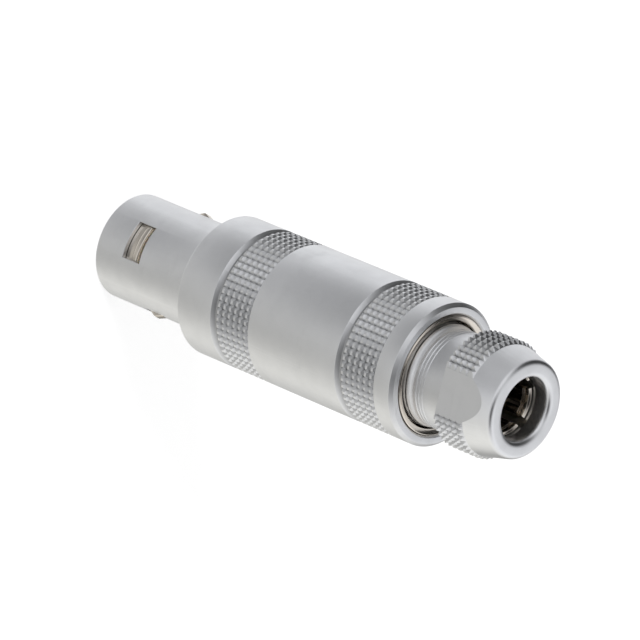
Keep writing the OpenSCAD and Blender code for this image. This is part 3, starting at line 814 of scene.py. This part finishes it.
class PLUG_OT_nut(bpy.types.Operator):
    """Turns the collet nut with its thread, knurl, wrench flats and rounded mouth"""

    bl_idname = "plug.nut"
    bl_label = "Collet nut"

    def execute(self, context):
        s, k = in_millimetres(context.scene.plug_nut), in_millimetres(context.scene.plug_knurl)
        soft, start, end = s.edge_break, s.start, s.end
        neck, crest, depth = s.neck_radius, s.thread_radius, s.thread_depth
        pitch, last = s.thread_pitch, s.thread_end + s.thread_pitch
        shoulder, knurl, stop = s.knurl_start, s.knurl_radius, s.knurl_end
        bevel, bore, inlet = s.bevel, s.bore, s.inlet_radius
        deep, land, flat = k.nut_depth, k.nut_land, s.flat_distance
        half, top = (k.pitch - land) / 2, stop + bevel
        valleys = [shoulder + s.first_valley + i * k.pitch for i in range(k.nut_valleys)]
        lines = [s.first_line + i * s.line_pitch for i in range(s.lines)]
        across = Vector((math.cos(s.flat_direction), math.sin(s.flat_direction), 0.0))

        def thread(z, angle):
            """Radius of the thread: a helix that sinks to the neck, with fine tool lines behind it."""
            turn = ((z - start) / pitch - angle / (2 * math.pi)) % 1.0
            rise = min(1.0, min(turn, 1.0 - turn) / FLANK)
            left = max(0.0, (s.thread_sunk - z) / pitch)
            fade = min(1.0, left / RUN_OUT)
            floor = neck + (crest - depth - neck) * min(1.0, left)
            entry = min(1.0, (z - start) / (ENTRY * pitch))
            lined = max(0.0, 1.0 - min(abs(z - line) for line in lines) / (s.line_width / 2))
            return floor + depth * rise * fade * entry - s.line_depth * lined

        def radius_at(r, z, column):
            """Cuts the thread, and sinks the flutes into the knurl."""
            if r == crest:
                return thread(z, angles[column])
            fluted = r > knurl - bevel - SAME and shoulder - SAME <= z <= top + SAME
            return min(r, knurl - deep * (1 - heights[column])) if fluted else r

        def knurled(place):
            """Whether a point of the mesh lies on the knurl, clear of the wrench flats."""
            outside = place.xy.length > knurl - JUST_PAST * deep and abs(place.dot(across)) < flat - BESIDE
            return outside and shoulder - SAME_STORED < place.z < stop

        rows = round((last - start) / pitch * TURN_ROWS)
        corners = [(bore, start, 0.0)]
        corners += [(crest, start + (last - start) * i / rows, 0.0) for i in range(rows + 1)]
        corners += [(neck, last + FINE, 0.0), (neck, shoulder, soft), (knurl, shoulder, 0.0)]
        for middle in valleys:
            corners += ring_valley(knurl, deep, middle, half, k.ramp_steps)
        drops = [bevel * i / BEVEL_ROWS for i in range(BEVEL_ROWS)]
        corners += [(knurl - drop, stop + drop, 0.0) for drop in drops]
        corners += [
            (knurl - bevel, top, soft),
            (knurl - bevel - math.tan(s.taper) * (end - top), end, s.end_rounding),
            (inlet, end, s.inlet_rounding), (inlet, s.inlet_floor, soft), (bore, s.cone_floor, 0.0),
        ]
        angles, heights = knurl_columns(k.nut_points, knurl, land, k.ramp_steps)
        body, flats = bmesh.new(), bmesh.new()
        lathe(body, rounded_outline(corners, steps=8), angles, radius_at)
        wide = knurl + PAST
        for side in OPPOSITE_SIDES:
            turn = s.flat_direction + side
            block(flats, (flat, 2 * flat), (-wide, wide), (shoulder - PAST, end + PAST), turn)
        mesh = carve(new_mesh("nut", body), new_mesh("flats", flats))
        mark_valleys(mesh, knurl, k.nut_points, land, k.pitch, valleys, knurled)
        finish = satin_chrome("Satin chrome nut", context.scene.plug_finish.nut_roughness)
        piece = finish_piece("nut_turned", mesh, "collet_nut", finish)
        sharpen_around(piece.data, lambda face: abs(face.normal.dot(across)) > FACING)
        return {"FINISHED"}


class PLUG_OT_sleeve(bpy.types.Operator):
    """Turns the latch sleeve and adds its teeth, snap lugs and slits"""

    bl_idname = "plug.sleeve"
    bl_label = "Latch sleeve"

    def execute(self, context):
        s = in_millimetres(context.scene.plug_sleeve)
        soft, end, wide, bore = s.edge_break, s.rear_end, s.radius, s.bore
        nose, nose_bore = s.nose_radius, s.nose_bore
        bevel, dish, sink = s.rim_bevel, s.rim_dish, s.mouth_sink
        corners = [
            (nose_bore, s.front, soft), (nose, s.front, soft), (nose, s.step, 0.0), (wide, s.step, soft),
            (wide, end - bevel, soft / 2), (wide - bevel, end, soft / 2),
            (bore + sink, end - dish, soft / 2), (bore, end - dish - sink, soft / 2),
            (bore, s.seat, 0.0), (nose_bore, s.seat, 0.0),
        ]
        body, added = bmesh.new(), bmesh.new()
        lathe(body, rounded_outline(corners), even_columns(SLEEVE_COLUMNS))
        for side in OPPOSITE_SIDES:
            self.tooth(added, s, side)
            self.lug(added, s, side + math.pi / 2)
        mesh = carve(new_mesh("sleeve", body), new_mesh("teeth_and_lugs", added), "UNION")
        arm, slit, tip = s.arm_width / 2, s.arm_slit, s.arm_tip
        half, lug_end = s.slot_width / 2, s.lug_start + s.lug_length
        reach = (nose_bore / 2, wide)
        along, across = bmesh.new(), bmesh.new()
        for side in OPPOSITE_SIDES:
            for edges in ((arm, arm + slit), (-arm - slit, -arm)):
                block(along, reach, edges, (tip - slit, tip + s.arm_length), side)
            block(along, reach, (-half, half), (lug_end, lug_end + s.slot_length), side + math.pi / 2)
            block(across, reach, (-arm - slit / 2, arm + slit / 2), (tip - slit, tip), side)
        mesh = carve(mesh, new_mesh("slits", along))
        mesh = carve(mesh, new_mesh("arm_ends", across))
        finish_piece("sleeve_turned", mesh, "latch_sleeve", bright_nickel())
        return {"FINISHED"}

    @staticmethod
    def arched(bm, corners, width, top, rounding, turn):
        """Adds a raised part of a turn, of a width at its top, whose two sides are rounded off."""
        half = math.asin(width / 2 / top)
        edge = min(0.5, rounding / (half * top))
        side = [-1.0, -1.0 + SIDE_STEP * edge, -1.0 + edge] + [-p * (1.0 - edge) for p in ARCH_COLUMNS]
        shares = side + [0.0] + [-p for p in reversed(side)]
        fall = [rounding, SIDE_STEP * rounding]
        drops = fall + [0.0] * (len(shares) - 2 * len(fall)) + fall[::-1]
        foot = min(r for r, z, soft in corners)

        def radius_at(r, z, column):
            """Sinks the sides, above the foot that is in the sleeve's wall."""
            return r - drops[column] if r > foot else r

        lathe(bm, rounded_outline(corners), [turn + half * p for p in shares], radius_at, whole=False)

    def tooth(self, bm, s, turn):
        """Adds one latch tooth: a block with a ridge."""
        soft, root, foot, top = s.edge_break, (s.nose_radius + s.nose_bore) / 2, s.tooth_foot, s.tooth_top
        start, crest = s.tooth_start, s.tooth_start + s.tooth_front
        rear = crest + s.tooth_back
        corners = [
            (root, start, 0.0), (foot, start, soft), (top, crest, CREST_SOFT * soft),
            (foot, rear, soft), (root, rear, 0.0),
        ]
        self.arched(bm, corners, s.tooth_width, top, SIDE_SOFT * soft, turn)

    def lug(self, bm, s, turn):
        """Adds one snap lug with a ramp ahead of its face."""
        soft, root, top = s.edge_break, (s.nose_radius + s.nose_bore) / 2, s.lug_top
        start, rear = s.lug_start, s.lug_start + s.lug_length
        corners = [
            (root, start, 0.0), (s.nose_radius + soft, start, 0.0),
            (top, start + s.lug_ramp, CREST_SOFT * soft), (top, rear, LUG_REAR_SOFT * soft),
            (root, rear, 0.0),
        ]
        self.arched(bm, corners, s.lug_width, top, SIDE_SOFT * soft, turn)


class PLUG_OT_collet(bpy.types.Operator):
    """Turns the collet and cuts the slots between its fingers"""

    bl_idname = "plug.collet"
    bl_label = "Collet"

    def execute(self, context):
        s = in_millimetres(context.scene.plug_collet)
        soft, start, end, bore = s.edge_break, s.start, s.end, s.bore
        flange, flange_end, floor = s.flange_radius, start + s.flange_length, start + s.seat_depth
        wide, long = s.mouth_width, s.mouth_depth
        broad, deep = s.groove_width, s.groove_depth
        corners = [
            (s.seat_mouth, start, soft / 2), (flange, start, soft), (flange, flange_end, soft),
            (s.radius, flange_end, 0.0), (s.radius, end - s.cone_run, soft / 2),
            (s.end_radius, end, soft / 2), (bore + wide, end, soft),
            (bore + wide / 3, end - long / 3, soft), (bore, end - long, soft),
        ]
        for i in range(s.grooves):
            top = end - s.groove_set - i * s.groove_pitch
            corners += [
                (bore, top, broad / 6), (bore + deep, top - broad / 4, 0.0),
                (bore + deep, top - 3 * broad / 4, 0.0), (bore, top - broad, broad / 6),
            ]
        corners += [(bore, floor, 0.0), (s.seat_floor, floor, 0.0)]
        body, cuts = bmesh.new(), bmesh.new()
        lathe(body, rounded_outline(corners), even_columns(COLLET_COLUMNS))
        half, flare = s.slot_width / 2, soft
        side = [
            (bore - 3 * flare, half + flare), (bore - flare / 2, half + flare),
            (bore + flare / 2, half), (flange, half),
        ]
        outline = side + [(x, -y) for x, y in reversed(side)]
        for turn in even_columns(s.slots):
            prism(cuts, outline, end - s.slot_length, end + PAST, s.slot_direction + turn)
        mesh = carve(new_mesh("collet", body), new_mesh("slots", cuts))
        finish_piece("collet_turned", mesh, "collet", bright_nickel())
        return {"FINISHED"}


class PLUG_OT_earthing_cone(bpy.types.Operator):
    """Finishes the earthing cone"""

    bl_idname = "plug.earthing_cone"
    bl_label = "Earthing cone"

    def execute(self, context):
        set_finish("earthing_cone", bright_nickel())
        return {"FINISHED"}


class PLUG_OT_insert(bpy.types.Operator):
    """Finishes the insulators, the centre contact and the carrier halves"""

    bl_idname = "plug.insert"
    bl_label = "Insert"

    def execute(self, context):
        look = context.scene.plug_finish
        gold = metal(
            "Gold plating", look.gold, roughness=0.2, grain=0.06, grain_depth=0.001,
            rings=0.05, ring_depth=0.001, wear=0.4,
        )
        brass = metal(
            "Turned brass", look.brass, roughness=0.32, grain=0.08, grain_depth=0.002,
            rings=0.06, ring_depth=0.002, wear=0.5,
        )
        white = self.insulator(look.insulator, ring_depth=0.004)
        set_finish("centre_contact", gold)
        for node in ("carrier_half_a", "carrier_half_b"):
            set_finish(node, brass)
        for node in ("front_insulator", "rear_insulator"):
            set_finish(node, white)
        return {"FINISHED"}

    @staticmethod
    def insulator(base, ring_depth):
        """Waxy white plastic with turning marks, whose depth is in millimetres."""
        material = bpy.data.materials.new("White insulator")
        material.use_nodes = True
        nodes = Nodes(material.node_tree)
        shader = material.node_tree.nodes["Principled BSDF"].inputs
        shader["Subsurface Weight"].default_value = 0.2
        shader["Subsurface Scale"].default_value = 0.5 * MM
        shade = nodes.add("ShaderNodeGroup", node_tree=plating_grain()).outputs["Shade"]
        marks = nodes.add("ShaderNodeGroup", node_tree=turning_marks()).outputs["Height"]
        dull = (*[INSULATOR_DULL * c for c in base], 1.0)
        nodes.link(nodes.mix("RGBA", shade, dull, (*base, 1.0)), shader["Base Color"])
        nodes.link(nodes.spread(shade, (0.0, 1.0), 0.6, 0.45), shader["Roughness"])
        nodes.link(nodes.bump(nodes.math("MULTIPLY", marks, ring_depth * MM)), shader["Normal"])
        return material


# Stage

# Dark cards that stand around the plug in the white studio and give the metal its form:
# direction around the axis from +X and height above the floor in degrees, depth of the shade at
# its middle, where 1 is black, and the angle from there at which half of the shade is left
DARK_CARDS = {
    "low, beyond the tip": (30, -30, 0.6, 20),
    "rear, far side": (-50, 15, 1.2, 20),
    "rear, near side": (135, 50, 1.2, 25),
    "low, near side": (145, -45, 0.6, 25),
    "low, under the camera": (75, -25, 0.7, 25),
    "rear, over the top": (-15, 30, 1.2, 30),
    "low, far side": (-115, -20, 0.8, 20),
}
DARKEST = 0.03  # level that the studio doesn't go below
WARM_SIDE = (195, -40)  # where the studio's white is warmest, in the same degrees
COOL_WHITE = (0.965, 0.975, 1.0, 1.0)
WARM_WHITE = (1.0, 0.99, 0.94, 1.0)
PURE_WHITE = (1.0, 1.0, 1.0, 1.0)
FLOOR_GLOW = 0.5  # light that only the camera sees on the floor
KEY_WAY = (0.42, 0.56, 0.72)  # direction from the plug to the key lamp
KEY_DISTANCE, KEY_SIZE = 0.45, 0.16  # the lamp's distance and its width in metres


def direction(around, height):
    """The direction at an angle around the axis from +X and a height above the floor, in degrees."""
    turn = Matrix.Rotation(math.radians(around), 3, "Z") @ Matrix.Rotation(math.radians(-height), 3, "Y")
    return turn @ Vector((1, 0, 0))


@made_once
def studio_tent(name):
    """How bright and how warm the white studio is in each direction, with its soft dark cards."""
    nodes, given, out = group(name, {"Direction": (0, 0, 1)}, ("Level", "Warmth"), "NodeSocketVector")
    way = nodes.add("ShaderNodeVectorMath", {0: given["Direction"]}, operation="NORMALIZE").outputs[0]

    def nearness(around, height):
        """1 towards a direction, 0 across it."""
        towards = {0: way, 1: direction(around, height)}
        return nodes.add("ShaderNodeVectorMath", towards, operation="DOT_PRODUCT").outputs["Value"]

    level = 1.0
    for around, height, depth, half in DARK_CARDS.values():
        narrow = math.log(2) / (1 - math.cos(math.radians(half)))
        fade = nodes.math("MULTIPLY", nodes.math("SUBTRACT", nearness(around, height), 1.0), narrow)
        shade = nodes.math("MULTIPLY", nodes.math("EXPONENT", fade), depth)
        level = nodes.math("SUBTRACT", level, shade)
    nodes.link(nodes.math("MAXIMUM", level, DARKEST), out["Level"])
    nodes.link(nodes.math("MULTIPLY", nearness(*WARM_SIDE), 1.0, clamp=True), out["Warmth"])
    return nodes.tree


class PLUG_OT_stage(bpy.types.Operator):
    """Sets the floor, the surroundings, the key lamp and the camera"""

    bl_idname = "plug.stage"
    bl_label = "Stage"

    def execute(self, context):
        s = context.scene.plug_stage
        self.floor(context, s)
        self.surroundings(context, s)
        self.key_lamp(context, s)
        self.camera(context, s)
        context.scene.view_settings.view_transform = "Standard"
        return {"FINISHED"}

    @staticmethod
    def kinds_of_ray(nodes):
        """Two values: 1 for camera rays, and 1 for mirror and glass rays."""
        path = nodes.add("ShaderNodeLightPath").outputs
        return path["Is Camera Ray"], nodes.math(
            "MAXIMUM", path["Is Glossy Ray"], path["Is Transmission Ray"]
        )

    def floor(self, context, s):
        """A white floor that mirrors don't show."""
        half = s.floor_size / 2
        corners = [(-half, -half, 0), (half, -half, 0), (half, half, 0), (-half, half, 0)]
        mesh = bpy.data.meshes.new("floor")
        mesh.from_pydata(corners, [], [(0, 1, 2, 3)])
        floor = bpy.data.objects.new("floor", mesh)
        context.scene.collection.objects.link(floor)
        material = bpy.data.materials.new("White floor")
        material.use_nodes = True
        mesh.materials.append(material)
        nodes = Nodes(material.node_tree)
        material.node_tree.nodes.clear()
        camera_ray, mirror_ray = self.kinds_of_ray(nodes)
        glow = nodes.math("MULTIPLY", camera_ray, FLOOR_GLOW)
        paper = nodes.add("ShaderNodeBsdfDiffuse", {"Color": (*s.floor_colour, 1.0)}).outputs[0]
        white = nodes.add("ShaderNodeEmission", {"Strength": glow}).outputs[0]
        lit = nodes.add("ShaderNodeAddShader", {0: paper, 1: white}).outputs[0]
        clear = nodes.add("ShaderNodeBsdfTransparent").outputs[0]
        both = nodes.add("ShaderNodeMixShader", {0: mirror_ray, 1: lit, 2: clear}).outputs[0]
        nodes.add("ShaderNodeOutputMaterial", {"Surface": both})

    def surroundings(self, context, s):
        """White to the camera, the white studio with its cards to metal and glass, and plain soft light."""
        world = bpy.data.worlds.new("White studio")
        context.scene.world = world
        world.use_nodes = True
        nodes = Nodes(world.node_tree)
        world.node_tree.nodes.clear()
        camera_ray, mirror_ray = self.kinds_of_ray(nodes)
        way = nodes.add("ShaderNodeTexCoord").outputs["Generated"]
        tent = nodes.add("ShaderNodeGroup", node_tree=studio_tent())
        nodes.link(way, tent.inputs["Direction"])
        lit = nodes.mix("FLOAT", mirror_ray, s.soft_light, tent.outputs["Level"])
        level = nodes.mix("FLOAT", camera_ray, lit, 1.0)
        warmth = nodes.mix("RGBA", tent.outputs["Warmth"], COOL_WHITE, WARM_WHITE)
        tint = nodes.mix("RGBA", mirror_ray, PURE_WHITE, warmth)
        shown = nodes.add("ShaderNodeBackground", {"Color": tint, "Strength": level}).outputs[0]
        nodes.add("ShaderNodeOutputWorld", {"Surface": shown})

    @staticmethod
    def key_lamp(context, s):
        """A round soft lamp that mirrors don't show."""
        lamp = bpy.data.lights.new("key", "AREA")
        lamp.shape = "DISK"
        lamp.size = KEY_SIZE
        lamp.energy = s.key_power
        holder = bpy.data.objects.new("key", lamp)
        context.scene.collection.objects.link(holder)
        middle = Vector((0, 0, (CAD_LOW.z + CAD_HIGH.z) / 2))
        way = Vector(KEY_WAY).normalized()
        holder.location = middle + way * KEY_DISTANCE
        holder.rotation_euler = way.to_track_quat("Z", "Y").to_euler()
        holder.visible_glossy = False

    @staticmethod
    def camera(context, s):
        """The camera at the place and in the direction that the settings give."""
        data = bpy.data.cameras.new("camera")
        data.lens = s.lens
        data.sensor_width = 36.0
        data.clip_start, data.clip_end = 0.01, 20.0
        camera = bpy.data.objects.new("camera", data)
        right, up = Vector(s.camera_right).normalized(), Vector(s.camera_up).normalized()
        back = right.cross(up).normalized()
        turn = Matrix((right, up, back)).transposed()
        camera.matrix_world = Matrix.Translation(s.camera_place) @ turn.to_4x4()
        context.scene.collection.objects.link(camera)
        context.scene.camera = camera


class PLUG_PT_panel(bpy.types.Panel):
    """Lists the steps that dress the plug"""

    bl_idname = "PLUG_PT_panel"
    bl_label = "Coaxial plug"
    bl_space_type = "VIEW_3D"
    bl_region_type = "UI"
    bl_category = "Plug"

    def draw(self, context):
        for step in STEPS:
            self.layout.operator(step.bl_idname)


STEPS = (
    PLUG_OT_shell, PLUG_OT_sleeve, PLUG_OT_nut, PLUG_OT_collet, PLUG_OT_earthing_cone, PLUG_OT_insert,
    PLUG_OT_stage,
)
SETTINGS = {
    "plug_knurl": PlugKnurlSettings,
    "plug_shell": PlugShellSettings,
    "plug_sleeve": PlugSleeveSettings,
    "plug_nut": PlugNutSettings,
    "plug_collet": PlugColletSettings,
    "plug_finish": PlugFinishSettings,
    "plug_stage": PlugStageSettings,
}


def register():
    """Registers the classes and puts the settings on the scene."""
    for settings in SETTINGS.values():
        bpy.utils.register_class(settings)
    for step in STEPS + (PLUG_PT_panel,):
        bpy.utils.register_class(step)
    for name, settings in SETTINGS.items():
        setattr(bpy.types.Scene, name, PointerProperty(type=settings))


def unregister():
    """Takes the settings and the classes away again."""
    for name in SETTINGS:
        delattr(bpy.types.Scene, name)
    for step in (PLUG_PT_panel,) + STEPS[::-1]:
        bpy.utils.unregister_class(step)
    for settings in reversed(SETTINGS.values()):
        bpy.utils.unregister_class(settings)


def main():
    """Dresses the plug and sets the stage."""
    register()
    bpy.ops.plug.shell()
    bpy.ops.plug.sleeve()
    bpy.ops.plug.nut()
    bpy.ops.plug.collet()
    bpy.ops.plug.earthing_cone()
    bpy.ops.plug.insert()
    bpy.ops.plug.stage()


if __name__ == "__main__":
    main()
